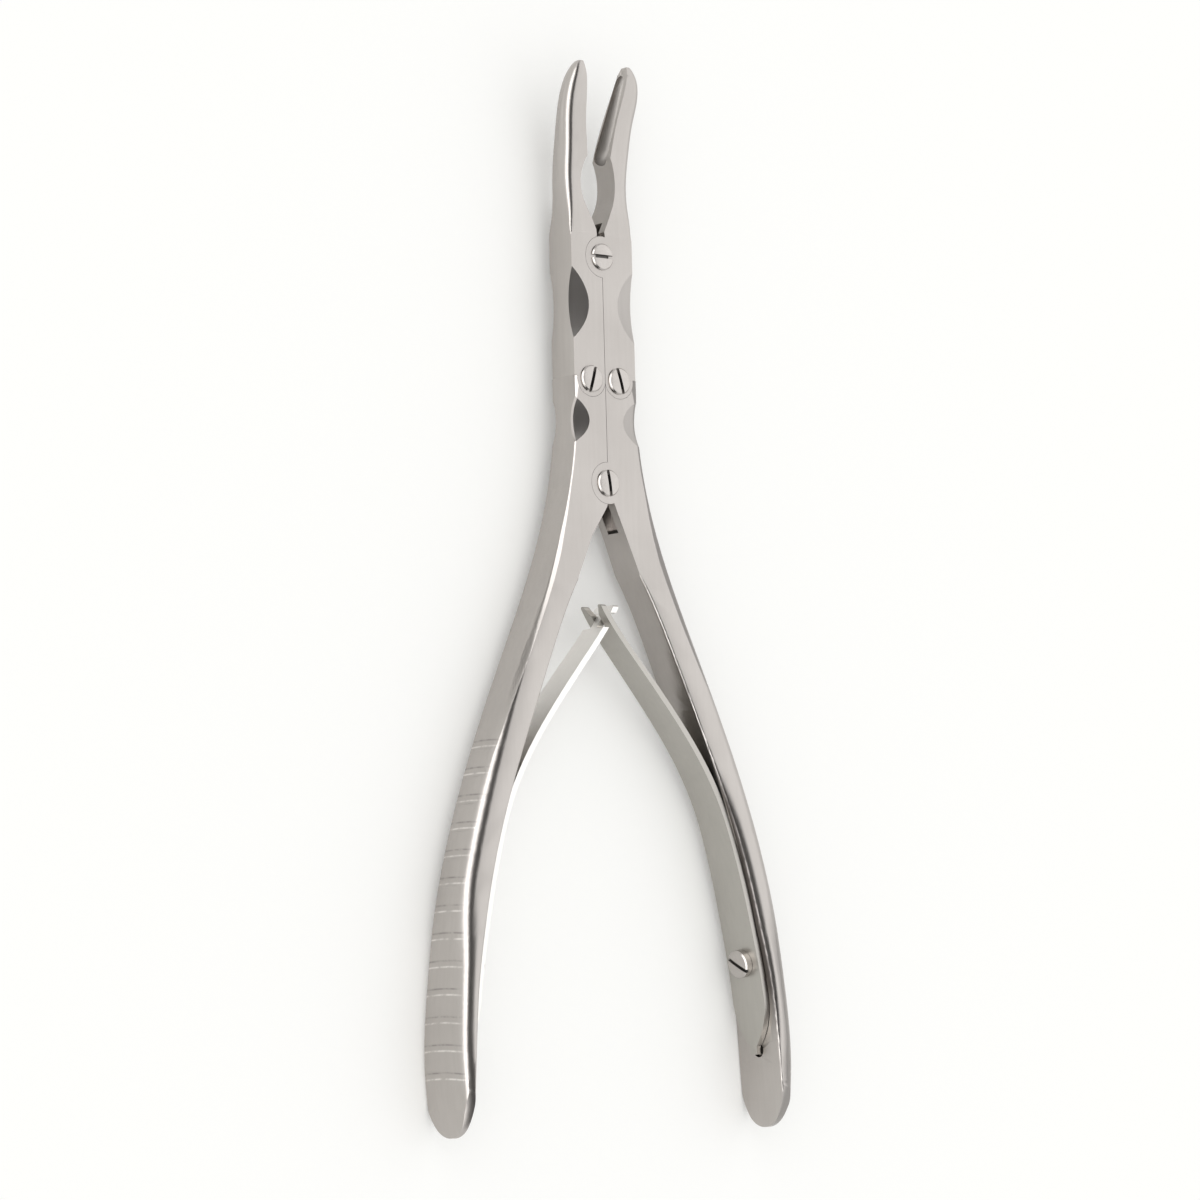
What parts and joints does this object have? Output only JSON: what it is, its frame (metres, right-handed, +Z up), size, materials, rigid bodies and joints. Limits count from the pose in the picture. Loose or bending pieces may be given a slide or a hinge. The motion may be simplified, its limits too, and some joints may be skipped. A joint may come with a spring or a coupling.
{
  "type": "bone rongeur",
  "caption": "Double-action bone rongeur: curved cupped jaws linked by screw pivots to long bowed handles, held open by interlocking leaf springs.",
  "frame": {"origin": "under the middle of the tool's box, at the level of the handles' backs", "axes": "+Y from the handle ends to the jaws, +X to the right handle, +Z up, the way the jaws curve"},
  "size_m": [0.0738, 0.185, 0.0115],
  "materials": {
    "satin_steel": "fine satin",
    "spring_steel": "satin",
    "screw_steel": "polished satin"
  },
  "bodies": {
    "left_handle": {"left_handle": "satin_steel", "left_spring_screw": "screw_steel"},
    "right_handle": {"right_handle": "satin_steel", "handle_pivot_screw": "screw_steel", "right_spring_screw": "screw_steel"},
    "left_jaw": {"left_jaw": "satin_steel", "left_link_screw": "screw_steel"},
    "right_jaw": {"right_jaw": "satin_steel", "jaw_pivot_screw": "screw_steel", "right_link_screw": "screw_steel"},
    "left_spring": {"left_spring": "spring_steel"},
    "right_spring": {"right_spring": "spring_steel"}
  },
  "joints": [
    {"name": "handle_pivot", "type": "hinge", "parent": "left_handle", "child": "right_handle", "pos_m": [0, 0.019, 0.0056], "axis": [0, 0, -1], "range_deg": [0, 19.4], "stiffness_Nm_per_rad": 1.2, "springref_deg": -6.88},
    {"name": "left_link", "type": "hinge", "parent": "left_handle", "child": "left_jaw", "pos_m": [-0.00307, 0.03704, 0.0056], "axis": [0, 0, -1], "range_deg": [0, 17.8]},
    {"name": "jaw_pivot", "type": "hinge", "parent": "left_jaw", "child": "right_jaw", "pos_m": [0, 0.05868, 0.0056], "axis": [0, 0, 1], "range_deg": [0, 16.1]},
    {"name": "right_spring_flex", "type": "hinge", "parent": "right_handle", "child": "right_spring", "pos_m": [0.0214, -0.0336, 0.0056], "axis": [0, 0, -1], "range_deg": [0, 7.3], "deforming": ["right_spring"]},
    {"name": "left_spring_flex", "type": "hinge", "parent": "left_handle", "child": "left_spring", "pos_m": [-0.0214, -0.0336, 0.0056], "axis": [0, 0, 1], "range_deg": [0, 7.3], "deforming": ["left_spring"]}
  ],
  "couplings": [
    {"joint": "left_link", "follows": "handle_pivot", "ratio": 0.9145},
    {"joint": "jaw_pivot", "follows": "handle_pivot", "ratio": 0.829},
    {"joint": "right_spring_flex", "follows": "handle_pivot", "ratio": 0.37},
    {"joint": "left_spring_flex", "follows": "handle_pivot", "ratio": 0.37}
  ]
}
